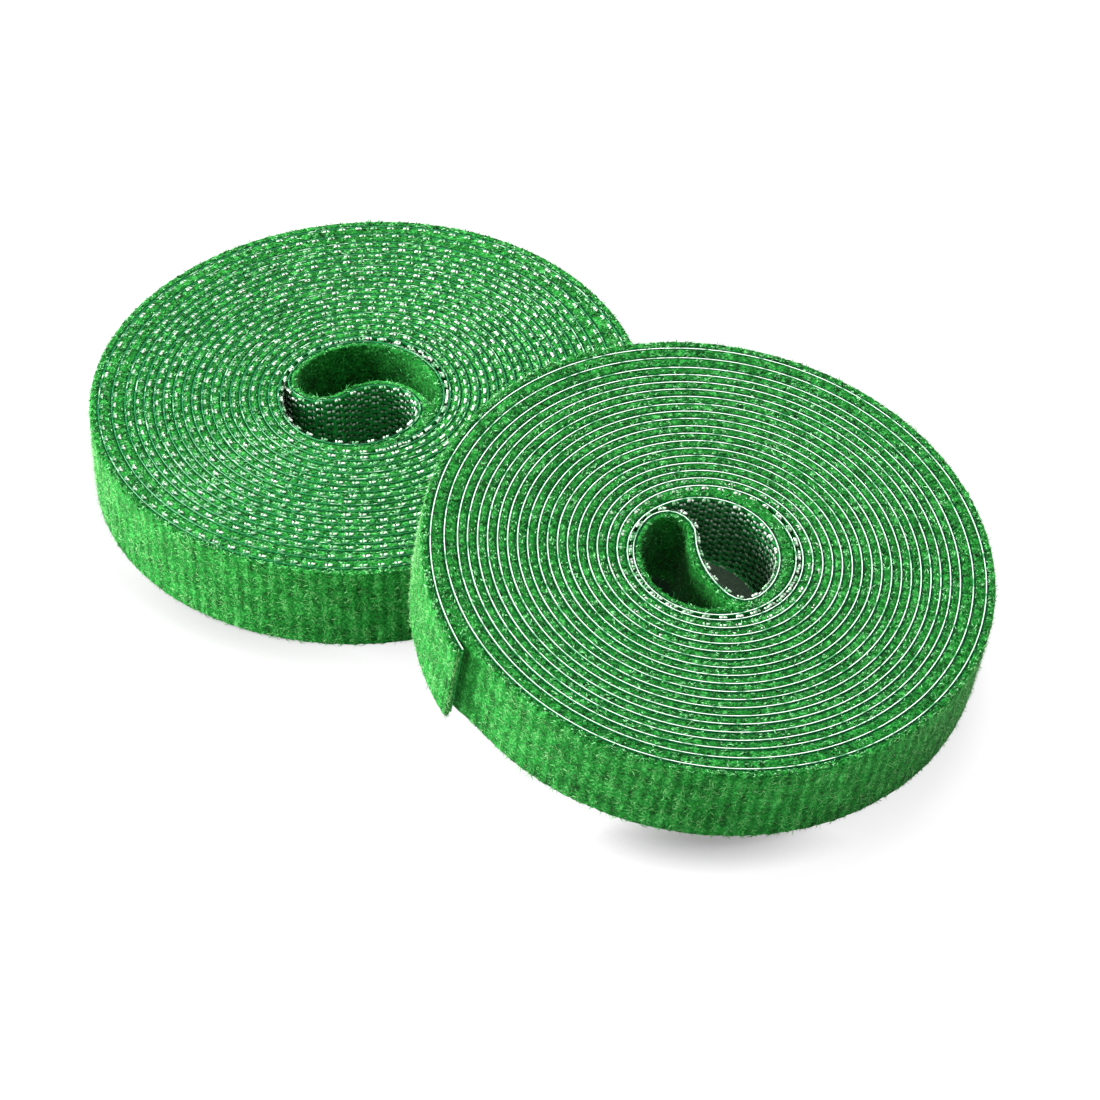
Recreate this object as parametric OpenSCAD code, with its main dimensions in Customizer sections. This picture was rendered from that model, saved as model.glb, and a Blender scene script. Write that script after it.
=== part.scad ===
// A pair of rolls of garden tie tape, with hooks on one face of the strip and loops on
// the other. One roll lies flat and the other leans on its rim. Each strip is a loop cloth
// bonded to a moulded hook film. It starts with a reversed tail, crosses the core in an S,
// winds outwards with its hooks facing in, and ends in a free end that peels back.
// Millimetres, +Z up, floor at Z = 0, origin under the middle of the pair.

/* [Tape] */
// Width of the tape, which is the height of a roll
tape_w = 12; // [8:0.5:20]
// Thickness of the moulded film that carries the hooks
film_t = 0.2; // [0.14:0.02:0.3]
// Glue line between the film and the cloth
bond_t = 0.05; // [0.04:0.01:0.08]
// Thickness of the loop cloth with its pile pressed down
cloth_t = 0.55; // [0.4:0.05:0.8]

/* [Flat roll] */
// Radius of its first full turn
flat_core_r = 12; // [9.5:0.1:15]
// Full turns before the last part turn
flat_turns = 18; // [4:1:21]
// Room between its turns, where hooks meet pile
flat_turn_gap = 0.43; // [0.42:0.01:0.8]
// Extra room that each of its slackened half turns adds
flat_slack = 0.25; // [0:0.05:0.6]
// Bearing at which its first full turn starts
flat_start = 327; // [0:1:359]
// Bearing of its free end
flat_end = 170; // [0:1:359]

/* [Leaning roll] */
// Radius of its first full turn
lean_core_r = 11; // [9.5:0.1:15]
// Full turns before the last part turn
lean_turns = 18; // [4:1:21]
// Room between its turns, where hooks meet pile
lean_turn_gap = 0.42; // [0.41:0.01:0.8]
// Extra room that each of its slackened half turns adds
lean_slack = 0.2; // [0:0.05:0.6]
// Bearing at which its first full turn starts
lean_start = 198; // [0:1:359]
// Bearing of its free end
lean_end = 212; // [0:1:359]

/* [How they lie] */
// How far the leaning roll reaches in past the rim that it leans on
lean_reach = 12.3; // [8:0.1:24]
// Bearing from the flat roll to the leaning one
lean_bearing = -43.5; // [-60:0.5:-20]
// Clearance between the leaning roll's underside and that rim
rest_gap = 0.3; // [0.1:0.05:0.6]

/* [Free ends] */
// Length of tape that peels back
free_end_l = 24; // [12:1:34]
// How much wider than the roll a free end curves, so that its tip stands off
free_end_relax = 1.12; // [1:0.02:1.4]
// Cut between the wound tape and the end that peels
peel_cut = 0.4; // [0.3:0.05:0.8]

/* [Hidden] */
$fn = 120;

// Half turns at the outside of a roll that have slackened
slack_half_turns = 4;
// Steps to a turn where the core is drawn and the gap is measured
core_steps = 40;
gap_steps = 24;
// The least sweep that is worth a last part turn
least_sweep = 2;

// The two layers, as offsets from the path towards the cloth's pile
film = [-film_t, 0];
cloth = [bond_t, bond_t + cloth_t];
strip_t = cloth[1] - film[0];

// The S across each core as arcs of [share of the core radius, sweep in degrees], from the
// middle of the S outwards. The feed leads to the winding and the tail to the inner end.
flat_feed = [[0.492, 81], [0.422, 89], [0.792, 112]];
flat_tail = [[0.362, 156], [0.783, 82], [0.948, 149]];
lean_feed = [[1.10, 47], [0.278, 90], [0.828, 114], [0.88, 128]];
lean_tail = [[0.302, 151], [0.867, 91], [0.92, 162]];

function total(list, i = 0) = i == len(list) ? 0 : list[i] + total(list, i + 1);
function reversed(list) = [for (i = [len(list) - 1 : -1 : 0]) list[i]];
function polar(r, bearing) = r * [cos(bearing), sin(bearing)];

// Arcs as [centre, radius, start bearing, sweep], walked from a point and a heading, turning
// left (turn = 1) or right (turn = -1). The start bearing is the clockwise end.
function walk(arcs, at, heading, turn, i = 0) =
    i == len(arcs) ? [] :
    let (r = arcs[i][0],
         ahead = heading + turn * arcs[i][1],
         centre = at + turn * polar(r, heading + 90),
         next = centre - turn * polar(r, ahead + 90))
    concat([[centre, r, turn > 0 ? heading - 90 : ahead + 90, arcs[i][1]]],
           walk(arcs, next, ahead, turn, i + 1));

function scaled(arcs, size) = [for (arc = arcs) [arc[0] * size, arc[1]]];
function on_arc(arc, part, out = 0) = arc[0] + polar(arc[1] + out, arc[2] + arc[3] * part);

// The winding is half turns about centres that take turns on the X axis, so that each one
// runs on from the last. Radius and centre of half turn k, where n is the last:
function turn_r(k, core_r, pitch, slack, n) =
    core_r + k * pitch / 2 + slack * max(0, k - n + slack_half_turns);
function turn_x(k, core_r, pitch, slack, n) =
    k == 0 ? -pitch / 4 :
    turn_x(k - 1, core_r, pitch, slack, n) - pow(-1, k)
        * (turn_r(k, core_r, pitch, slack, n) - turn_r(k - 1, core_r, pitch, slack, n));

// A roll in its own frame, where the winding starts on +X. It holds the arcs of
// [0] the tail and [1] the feed, each from the middle of the S, [2] the winding,
// [3] the cut and the free end, and [4] the bearing to turn the roll to.
function roll(core_r, turns, turn_gap, slack, start, end, feed, tail) =
    let (pitch = strip_t + turn_gap,
         guess_r = core_r + turns * pitch,
         end_sweep = free_end_l / guess_r * 180 / PI,
         hinge = (end - start - end_sweep + 720) % 360,
         n = 2 * turns + (hinge >= 180 + least_sweep ? 1 : 0),
         last_r = turn_r(n, core_r, pitch, slack, n),
         last_sweep = max(least_sweep, hinge - 180 * (n - 2 * turns)),
         last_from = 180 * (n % 2),
         winding = [for (k = [0 : n])
             [[turn_x(k, core_r, pitch, slack, n), 0], turn_r(k, core_r, pitch, slack, n),
              180 * (k % 2), k < n ? 180 : last_sweep]],
         hinge_at = on_arc(winding[n], 1),
         free = walk([[last_r, peel_cut / last_r * 180 / PI],
                      [last_r * free_end_relax, end_sweep / free_end_relax]],
                     hinge_at, last_from + last_sweep + 90, 1),
         feed_arcs = walk(reversed(scaled(feed, core_r)), on_arc(winding[0], 0), -90, -1),
         middle = feed_arcs[len(feed) - 1],
         tail_arcs = walk(scaled(tail, core_r), on_arc(middle, 0), middle[2] + 270, 1))
    [tail_arcs, reversed(feed_arcs), winding, free, start];

flat = roll(flat_core_r, flat_turns, flat_turn_gap, flat_slack,
            flat_start, flat_end, flat_feed, flat_tail);
lean = roll(lean_core_r, lean_turns, lean_turn_gap, lean_slack,
            lean_start, lean_end, lean_feed, lean_tail);

// ---- The gap that each strip leaves to itself ----

// Arcs along the middle of the strip, from the inner end to the outer
function mid_line(r) =
    let (mid = (cloth[1] + film[0]) / 2)
    concat([for (arc = reversed(r[0])) [arc[0], arc[1] - mid, arc[2], arc[3]]],
           [for (arc = concat(r[1], r[2])) [arc[0], arc[1] + mid, arc[2], arc[3]]]);

// Distance from a point to an arc
function reach(point, arc) =
    let (v = point - arc[0],
         bearing = (atan2(v.y, v.x) - arc[2] + 3600) % 360)
    bearing <= arc[3] ? abs(norm(v) - arc[1])
                      : min(norm(point - on_arc(arc, 0)), norm(point - on_arc(arc, 1)));

// Least gap between stretches of the strip that don't follow each other
function least_gap(r) =
    let (line = mid_line(r))
    min([for (i = [0 : len(line) - 1], j = [0 : len(line) - 1]) if (abs(i - j) > 1)
            let (steps = ceil(line[i][3] * gap_steps / 360))
            min([for (s = [0 : steps]) reach(on_arc(line[i], s / steps), line[j])])]) - strip_t;

function tape_length(r) =
    total([for (arcs = [r[0], r[1], r[2], r[3]], arc = arcs) arc[1] * arc[3] * PI / 180]);

echo(str("flat roll: least gap to itself ", least_gap(flat), ", tape length ", tape_length(flat)));
echo(str("leaning roll: least gap to itself ", least_gap(lean), ", tape length ", tape_length(lean)));

// ---- How the pair lies ----

// Points round a roll's outer face, turned to its bearing
function rim(r) =
    [for (i = [max(0, len(r[2]) - 3) : len(r[2]) - 1], s = [0 : gap_steps])
        let (p = on_arc(r[2][i], s / gap_steps, cloth[1]))
        polar(norm(p), atan2(p.y, p.x) + r[4])];
function farthest(points, bearing) = max([for (p = points) p * polar(1, bearing)]);

flat_rim = [for (p = rim(flat)) [-p.x, p.y]];
lean_rim = rim(lean);
lean_way = polar(1, lean_bearing);
lean_side = polar(1, lean_bearing + 90);

// The leaning roll's underside runs from its low rim on the floor up to the flat roll's rim
flat_out = farthest(flat_rim, lean_bearing);
low_out = farthest(lean_rim, lean_bearing);
underside = low_out + farthest(lean_rim, lean_bearing + 180) - lean_reach;
tilt = asin((tape_w + rest_gap) / underside);
lean_lift = low_out * sin(tilt);
lean_run = flat_out + (underside - low_out) * cos(tilt);

// Where the rolls stand, so that the origin is under the middle of the pair
lean_spread = [for (p = lean_rim, z = [0, tape_w])
    ((p * lean_way) * cos(tilt) + z * sin(tilt) + lean_run) * lean_way
    + (p * lean_side) * lean_side];
spread = concat(flat_rim, lean_spread);
middle = ([min([for (p = spread) p.x]), min([for (p = spread) p.y])]
          + [max([for (p = spread) p.x]), max([for (p = spread) p.y])]) / 2;
flat_at = -middle;
lean_at = lean_run * lean_way - middle;

echo(str("flat roll stands at ", flat_at, ", leaning roll at ", lean_at,
         ", lifted ", lean_lift, ", tilted ", tilt));

module flat_pose() {
    translate([flat_at.x, flat_at.y, 0]) mirror([1, 0, 0]) rotate([0, 0, flat[4]]) children();
}

module lean_pose() {
    translate([lean_at.x, lean_at.y, lean_lift])
        rotate([0, 0, lean_bearing]) rotate([0, tilt, 0]) rotate([0, 0, lean[4] - lean_bearing])
            children();
}

// ---- The strip ----

// One layer of the tape along arcs
module layer(arcs, offsets) {
    for (arc = arcs)
        translate([arc[0].x, arc[0].y, 0]) rotate([0, 0, arc[2]])
            rotate_extrude(angle = arc[3])
                translate([arc[1] + offsets[0], 0]) square([offsets[1] - offsets[0], tape_w]);
}

// Points along one side of the core's S, from the inner end to the start of the winding
function core_side(r, out) =
    let (start = on_arc(r[2][0], 0, out),
         drawn = concat(
             [for (arc = reversed(r[0])) let (m = ceil(arc[3] * core_steps / 360))
                 for (s = [m : -1 : 1]) on_arc(arc, s / m, -out)],
             [for (arc = r[1]) let (m = ceil(arc[3] * core_steps / 360))
                 for (s = [0 : m - 1]) on_arc(arc, s / m, out)]))
    concat(drawn, [start]);

module core(r, offsets) {
    linear_extrude(tape_w)
        polygon(concat(core_side(r, offsets[0]), reversed(core_side(r, offsets[1]))));
}

module wound(r, offsets) {
    core(r, offsets);
    layer(r[2], offsets);
}

module free_end(r, offsets) { layer([r[3][1]], offsets); }

module flat_roll_loop_cloth() { color("forestgreen") flat_pose() wound(flat, cloth); }
module flat_roll_hook_film() { color("honeydew") flat_pose() wound(flat, film); }
module flat_end_loop_cloth() { color("limegreen") flat_pose() free_end(flat, cloth); }
module flat_end_hook_film() { color("white") flat_pose() free_end(flat, film); }

module leaning_roll_loop_cloth() { color("seagreen") lean_pose() wound(lean, cloth); }
module leaning_roll_hook_film() { color("honeydew") lean_pose() wound(lean, film); }
module leaning_end_loop_cloth() { color("limegreen") lean_pose() free_end(lean, cloth); }
module leaning_end_hook_film() { color("white") lean_pose() free_end(lean, film); }

flat_roll_loop_cloth();
flat_roll_hook_film();
flat_end_loop_cloth();
flat_end_hook_film();
leaning_roll_loop_cloth();
leaning_roll_hook_film();
leaning_end_loop_cloth();
leaning_end_hook_film();
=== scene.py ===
# %% [markdown]
# # Two rolls of garden tie tape
# Garden tie tape is a narrow strip with two faces. One face is a cloth with a soft pile of loops, the
# other is a thin moulded film with rows of small hooks. The tape grips itself, so it is sold wound up
# with no tube inside: the hooks look at the middle of the roll and the pile looks out. Here one roll lies
# flat and the other leans on its rim.
#
# The lesson builds the tape as a maker would see it: a film, a cloth backing, the body of the pile, the
# hooks, and the single fibres that make the pile look soft. Each layer follows one line, the wound path
# of the tape, so that line comes first.

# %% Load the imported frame
import math

import bpy
import numpy as np
from mathutils import Matrix, Vector


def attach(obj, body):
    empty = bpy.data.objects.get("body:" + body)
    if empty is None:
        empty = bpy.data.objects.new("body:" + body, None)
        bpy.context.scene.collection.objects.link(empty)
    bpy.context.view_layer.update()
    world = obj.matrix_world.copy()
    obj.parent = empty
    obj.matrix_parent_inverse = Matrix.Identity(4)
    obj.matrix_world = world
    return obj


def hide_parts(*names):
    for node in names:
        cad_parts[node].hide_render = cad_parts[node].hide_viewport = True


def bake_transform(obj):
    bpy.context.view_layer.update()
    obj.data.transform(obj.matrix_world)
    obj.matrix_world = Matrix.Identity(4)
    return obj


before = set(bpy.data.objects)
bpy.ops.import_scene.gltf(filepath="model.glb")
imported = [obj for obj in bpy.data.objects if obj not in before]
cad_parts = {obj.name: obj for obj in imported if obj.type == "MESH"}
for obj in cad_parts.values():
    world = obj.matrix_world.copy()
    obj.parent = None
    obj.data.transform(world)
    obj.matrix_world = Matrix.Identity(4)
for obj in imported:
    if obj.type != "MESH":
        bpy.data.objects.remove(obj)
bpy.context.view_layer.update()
MM = 0.001

# %% [markdown]
# ## The camera
# The camera comes first, because every later choice of detail depends on how large things are in the
# picture. A long lens from far away keeps the two rolls nearly in parallel view. The camera is given by
# the point it looks at, its distance, its bearing, its height and a slight roll.

# %% The camera
LENS_PIXELS, FRAME_PIXELS, SENSOR_MM = 4893.9, 1100, 36.0
LOOK_AT = Vector((2.213, -5.530, 6.0)) * MM
CAMERA_DISTANCE, CAMERA_BEARING, CAMERA_HEIGHT, CAMERA_ROLL = 616.31 * MM, 0.624, 41.165, -1.513


def aim(obj, place, target, roll=0.0):
    """Puts a camera or lamp at a place and turns its -Z axis to the target."""
    turn = (Vector(target) - Vector(place)).to_track_quat("-Z", "Y").to_matrix().to_4x4()
    obj.matrix_world = Matrix.Translation(place) @ turn @ Matrix.Rotation(math.radians(roll), 4, "Z")


def around(target, distance, bearing, height):
    """The place at that distance from the target; bearing 0 is in front, and height is an angle."""
    b, h = math.radians(bearing), math.radians(height)
    step = Vector((math.sin(b) * math.cos(h), -math.cos(b) * math.cos(h), math.sin(h)))
    return Vector(target) + distance * step


camera = bpy.data.objects.new("camera", bpy.data.cameras.new("camera"))
bpy.context.scene.collection.objects.link(camera)
camera.data.sensor_width = SENSOR_MM
camera.data.lens = LENS_PIXELS / FRAME_PIXELS * SENSOR_MM
camera.data.clip_start, camera.data.clip_end = 0.01, 10
aim(camera, around(LOOK_AT, CAMERA_DISTANCE, CAMERA_BEARING, CAMERA_HEIGHT), LOOK_AT, CAMERA_ROLL)
bpy.context.scene.camera = camera
print("lens", round(camera.data.lens, 1), "mm")

# %% [markdown]
# ## The wound path
# A roll of flat tape is well drawn with arcs. Half circles on two alternating centres, each a little
# larger than the last, make a spiral with no kinks. The tape's inner end is folded back across the hollow
# in an S, and the outer end comes loose. Every arc holds its centre, its radius, the bearing it starts at
# and its sweep.

# %% Arcs
TAPE_W = 12.0 * MM
FILM_T, BOND_T, CLOTH_T = 0.2 * MM, 0.05 * MM, 0.55 * MM
FREE_L, FREE_RELAX, PEEL_CUT = 24 * MM, 1.12, 0.4 * MM


def polar(r, bearing):
    """The step of length r along a bearing, in degrees."""
    return np.array([r * math.cos(math.radians(bearing)), r * math.sin(math.radians(bearing))])


def on_arc(arc, share):
    """The point at a share of an arc's sweep."""
    centre, r, start, sweep = arc
    return centre + polar(r, start + sweep * share)


def walk(steps, at, heading, turn):
    """Lays (radius, sweep) steps one after another; turn is 1 to the left and -1 to the right."""
    arcs = []
    for r, sweep in steps:
        ahead = heading + turn * sweep
        centre = at + turn * polar(r, heading + 90)
        at = centre - turn * polar(r, ahead + 90)
        arcs.append((centre, r, heading - 90 if turn > 0 else ahead + 90, sweep))
        heading = ahead
    return arcs


def wind(core_r, turns, gap, slack, start, end, feed, tail):
    """The arcs of one roll: tail and feed cross the hollow, then the turns, then the free end. The last
    turns lie further apart by the slack."""
    pitch = FILM_T + BOND_T + CLOTH_T + gap
    end_sweep = math.degrees(FREE_L / (core_r + turns * pitch))
    hinge = (end - start - end_sweep + 720) % 360
    # a last half turn is only begun when more than 2 degrees of it are left before the hinge
    halves = 2 * turns + (1 if hinge >= 182 else 0)
    radii = [core_r + k * pitch / 2 + slack * max(0, k - halves + 4) for k in range(halves + 1)]
    centres = [-pitch / 4]
    for k in range(1, halves + 1):
        centres.append(centres[-1] - (-1) ** k * (radii[k] - radii[k - 1]))
    last_sweep = max(2, hinge - 180 * (halves - 2 * turns))
    turns_arcs = []
    for k in range(halves + 1):
        sweep = 180.0 if k < halves else last_sweep
        turns_arcs.append((np.array([centres[k], 0.0]), radii[k], 180.0 * (k % 2), sweep))
    last_r = radii[-1]
    free = walk([[last_r, math.degrees(PEEL_CUT / last_r)], [last_r * FREE_RELAX, end_sweep / FREE_RELAX]],
                on_arc(turns_arcs[-1], 1), 180 * (halves % 2) + last_sweep + 90, 1)
    feed, tail = ([[r * core_r, sweep] for r, sweep in steps] for steps in (feed, tail))
    feed_arcs = walk(feed[::-1], on_arc(turns_arcs[0], 0), -90, -1)
    tail_arcs = walk(tail, on_arc(feed_arcs[-1], 0), feed_arcs[-1][2] + 270, 1)
    forward = feed_arcs[::-1] + turns_arcs + free
    return {"arcs": [(a, -1) for a in tail_arcs[::-1]] + [(a, 1) for a in forward],
            "core": len(tail_arcs) + len(feed_arcs), "free": len(free)}


# %% [markdown]
# ## A roll isn't quite round
# Tape that is wound by hand follows what lies under it. The flat roll is pressed in on one side, from its
# core right out to its rim, and the leaning one is a little oval. Both are written as a dent: how far the
# path moves outwards at a bearing and a radius, in millimetres.

# %% Dents
CORE_RADIUS, RIM_RADIUS = 12, 34
AT_CORE, AT_RIM = np.array([1.7, 200, 127]), np.array([1.9, 212, 90])


def flat_dent(bearing, radius):
    """One wide hollow side. Its depth, middle and width change from the core to the rim, and the S inside
    the core keeps its place."""
    share = np.clip((radius - CORE_RADIUS) / (RIM_RADIUS - CORE_RADIUS), 0, 1)
    depth, middle, width = (a + (b - a) * share for a, b in zip(AT_CORE, AT_RIM))
    away = (bearing - middle + 180) % 360 - 180
    fade_in = np.clip((radius - 10.4) / 1.2, 0, 1)
    return -depth * np.exp(-4 * np.log(2) * (away / width) ** 2) * fade_in


def leaning_dent(bearing, radius):
    """A little smaller all round, longer along the bearing 8, and moved towards the bearing 40."""
    wave = -0.24 + 0.33 * np.cos(np.radians(2 * (bearing - 8))) + 0.12 * np.cos(np.radians(bearing - 40))
    return wave * np.clip((radius - 8) / 2, 0, 1)


# %% [markdown]
# ## Where each roll lies
# The flat roll stands on the floor and is wound the other way round, so its path is mirrored. The leaning
# roll touches the floor with its rim on one side and rests on the flat roll with its face on the other. How
# far it tilts and how high it stands follow from the place where the two meet, and are the frame's own.

# %% Where each roll lies
def turn_about(axis, degrees):
    """A turn about an axis as a plain 3 x 3 array."""
    return np.array(Matrix.Rotation(math.radians(degrees), 3, axis))


FLAT_START, LEAN_START, LEAN_BEARING, LEAN_TILT = 327.0, 198.0, -43.5, 12.421482
flat_roll = wind(12 * MM, 18, 0.43 * MM, 0.25 * MM, FLAT_START, 170.0,
                 [[0.492, 81], [0.422, 89], [0.792, 112]], [[0.362, 156], [0.783, 82], [0.948, 149]])
flat_roll["turned"] = np.diag([-1.0, 1, 1]) @ turn_about("Z", FLAT_START)
flat_roll["dent"] = flat_dent
flat_roll["at"] = np.array([-20.962797, 19.329642, 0]) * MM
leaning_roll = wind(11 * MM, 18, 0.42 * MM, 0.2 * MM, LEAN_START, 212.0,
                    [[1.10, 47], [0.278, 90], [0.828, 114], [0.88, 128]],
                    [[0.302, 151], [0.867, 91], [0.92, 162]])
leaning_roll["turned"] = (turn_about("Z", LEAN_BEARING) @ turn_about("Y", LEAN_TILT)
                          @ turn_about("Z", LEAN_START - LEAN_BEARING))
leaning_roll["dent"] = leaning_dent
leaning_roll["at"] = np.array([20.378032, -19.901340, 7.397181]) * MM

for roll in (flat_roll, leaning_roll):
    lengths = [math.radians(a[3]) * a[1] for a, side in roll["arcs"]]
    roll["ends"] = np.concatenate([[0], np.cumsum(lengths)])
    roll["length"] = roll["ends"][-1]
    roll["core_end"] = roll["ends"][roll["core"]]
    roll["cut"] = roll["ends"][-1 - roll["free"]]
    roll["up"] = roll["turned"] @ np.array([0, 0, 1.0])
    print("tape", round(roll["length"] / MM), "mm, core", round(roll["core_end"] / MM), "mm")

# %% [markdown]
# ## Reading the path
# All layers ask the same question: at this distance along the tape, where is it, and which way is out?
# "Out" is the side of the pile. The answer is in world coordinates, as arrays, so that thousands of
# places are worked out at once.

# %% Places along the tape
def unit(v):
    """Vectors at length one."""
    return v / np.linalg.norm(v, axis=-1, keepdims=True)


def in_roll(roll, distance):
    """Place and outward direction in the roll's own flat frame, with its dent."""
    k = np.clip(np.searchsorted(roll["ends"], distance, "right") - 1, 0, len(roll["arcs"]) - 1)
    centre = np.array([a[0] for a, side in roll["arcs"]])[k]
    r, start, sweep = np.array([a[1:] for a, side in roll["arcs"]])[k].T
    side = np.array([s for a, s in roll["arcs"]])[k]
    share = (distance - roll["ends"][k]) / (roll["ends"][k + 1] - roll["ends"][k])
    turned = np.radians(start + sweep * np.where(side > 0, share, 1 - share))
    spoke = np.stack([np.cos(turned), np.sin(turned)], -1)
    point = centre + spoke * r[:, None]
    radius = np.linalg.norm(point, axis=1)
    bearing = np.degrees(np.arctan2(point[:, 1], point[:, 0])) % 360
    dented = point * (1 + roll["dent"](bearing, radius / MM) * MM / radius)[:, None]
    return dented, spoke * side[:, None]


def along(roll, distance):
    """World place, outward direction and running direction of the tape at each distance along it."""
    distance = np.asarray(distance, float)
    flat = lambda v: np.c_[v, np.zeros(len(v))] @ roll["turned"].T
    point, spoke = in_roll(roll, distance)
    run = in_roll(roll, distance + 0.05 * MM)[0] - in_roll(roll, distance - 0.05 * MM)[0]
    ahead = unit(flat(run))
    ahead *= np.sign((ahead * np.cross(flat(spoke), roll["up"])).sum(-1, keepdims=True))
    return flat(point) + roll["at"], np.cross(roll["up"], ahead), ahead


# %% [markdown]
# ## How much room the pile has
# The pile springs out until it meets the next turn. Between tight turns that is under a millimetre, beside
# the S of the core and under the free end it is more, and where nothing lies over it the loops stand at
# their own height. For each millimetre of tape, the room is the distance straight out to the next turn.

# %% Room over the pile
OPEN_PILE, CORE_PILE, DEEPEST_PILE, WIDEST_ROOM = 0.85 * MM, 0.6 * MM, 1.9 * MM, 2.8 * MM
TAKEN = 0.42 * MM  # by the backing under the pile and the film over it
NEIGHBOUR, RAY = 4 * MM, 0.2 * MM  # nearer along the tape is the same turn; how wide "straight out" is
SMOOTHED = 5  # stations


def measure_room(roll):
    """The pile's thickness at each millimetre of the tape."""
    others = np.arange(0, roll["length"], 0.25 * MM)
    their = in_roll(roll, others)[0]
    here = np.arange(0, roll["length"], MM)
    thick = np.where(here < roll["core_end"], CORE_PILE, OPEN_PILE)
    for i, distance in enumerate(here):
        point, spoke = (v[0] for v in in_roll(roll, here[i:i + 1]))
        step = their - point
        outward = step @ spoke
        aside = np.abs(step @ np.array([-spoke[1], spoke[0]]))
        over = (np.abs(others - distance) > NEIGHBOUR) & (outward > RAY) & (aside < RAY)
        if over.any() and outward[over].min() < WIDEST_ROOM:
            thick[i] = min(outward[over].min() - TAKEN, DEEPEST_PILE)
    padded = np.pad(thick, SMOOTHED // 2, mode="edge")
    return here, np.convolve(padded, np.ones(SMOOTHED) / SMOOTHED, "valid")


for roll in (flat_roll, leaning_roll):
    roll["room"] = measure_room(roll)
    thinnest, thickest = (round(f(roll["room"][1]) / MM, 2) for f in (np.min, np.max))
    print("pile from", thinnest, "to", thickest, "mm")


def pile_height(roll):
    """The thickness of the pile as a function of the distance."""
    return lambda distance: np.interp(distance, *roll["room"])


# %% [markdown]
# ## A small workbench
# Operators work on what is selected, so a helper selects one object and nothing else. A second one adds a
# modifier, sets it up and applies it. With these two, each layer is a few lines.

# %% Helpers for the modelling
def select_only(obj):
    """Deselects everything and makes obj the selected, active object."""
    bpy.ops.object.select_all(action="DESELECT")
    obj.select_set(True)
    bpy.context.view_layer.objects.active = obj


def apply_modifier(obj, kind, **settings):
    """Adds a modifier with these settings and applies it."""
    select_only(obj)
    modifier = obj.modifiers.new(kind.lower(), kind)
    for name, value in settings.items():
        setattr(modifier, name, value)
    bpy.ops.object.modifier_apply(modifier=modifier.name)


def vertices_of(obj):
    """The vertices' places as an array."""
    flat = np.empty(len(obj.data.vertices) * 3)
    obj.data.vertices.foreach_get("co", flat)
    return flat.reshape(-1, 3)


def band(name, roll, span, step, inner, heights, thick, bevel=0.0, segments=1):
    """A strip that follows the tape over a span of it: a drawn line, extruded over the heights and given
    a thickness, which can be a function of the distance. Its inner side is at the distance inner."""
    stations = np.linspace(*span, max(2, int(round((span[1] - span[0]) / step)) + 1))
    place, out, ahead = along(roll, stations)
    thick = thick(stations) if callable(thick) else np.full(len(stations), thick)
    line = place + out * (inner + thick / 2)[:, None] + roll["up"] * heights[0]
    mesh = bpy.data.meshes.new(name)
    mesh.from_pydata(line.tolist(), [(i, i + 1) for i in range(len(line) - 1)], [])
    mesh.attributes.new("distance", "FLOAT", "POINT").data.foreach_set("value", stations / MM)
    obj = bpy.data.objects.new(name, mesh)
    bpy.context.scene.collection.objects.link(obj)
    select_only(obj)
    bpy.ops.object.mode_set(mode="EDIT")
    bpy.ops.mesh.select_mode(type="VERT")
    bpy.ops.mesh.select_all(action="SELECT")
    for low, high in zip(heights, heights[1:]):
        lift = Vector(roll["up"]) * (high - low)
        bpy.ops.mesh.extrude_region_move(TRANSFORM_OT_translate={"value": lift})
    bpy.ops.object.mode_set(mode="OBJECT")
    share = obj.vertex_groups.new(name="thickness")
    for vertex, kept in zip(obj.data.vertices, obj.data.attributes["distance"].data):
        share.add([vertex.index], np.interp(kept.value * MM, stations, thick / thick.max()), "REPLACE")
    apply_modifier(obj, "SOLIDIFY", thickness=thick.max(), offset=0.0, use_even_offset=True,
                   vertex_group="thickness")
    if bevel:
        apply_modifier(obj, "BEVEL", width=bevel, segments=segments, limit_method="ANGLE",
                       angle_limit=math.radians(60))
    select_only(obj)
    bpy.ops.object.mode_set(mode="EDIT")
    bpy.ops.mesh.select_all(action="SELECT")
    bpy.ops.mesh.normals_make_consistent(inside=False)
    bpy.ops.object.mode_set(mode="OBJECT")
    return obj


def lay_tape_map(obj, roll):
    """Writes the UV map "tape" from each vertex's kept distance and its height over the lower edge."""
    mesh = obj.data
    distance = np.empty(len(mesh.vertices))
    mesh.attributes["distance"].data.foreach_get("value", distance)
    height = (vertices_of(obj) - roll["at"]) @ roll["up"] / MM
    corner = np.empty(len(mesh.loops), np.int32)
    mesh.loops.foreach_get("vertex_index", corner)
    uv = mesh.uv_layers.new(name="tape")
    uv.uv.foreach_set("vector", np.stack([distance, height], -1)[corner].ravel())


# %% [markdown]
# ## Materials as sums
# A material is a graph of nodes. Written as Python expressions it stays readable: a Wire is the output of
# a node, and + - * / on wires add Math nodes. Everything else comes from one method, node.

# %% Wires and paints
class Wire:
    """The output of a node, which can be used in sums."""

    def __init__(self, paint, socket):
        self.paint, self.socket = paint, socket

    def _sum(self, operation, a, b):
        return self.paint.node("ShaderNodeMath", {"operation": operation}, {0: a, 1: b})

    def __add__(self, other):
        return self._sum("ADD", self, other)

    def __sub__(self, other):
        return self._sum("SUBTRACT", self, other)

    def __rsub__(self, other):
        return self._sum("SUBTRACT", other, self)

    def __mul__(self, other):
        return self._sum("MULTIPLY", self, other)

    __radd__, __rmul__ = __add__, __mul__


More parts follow.
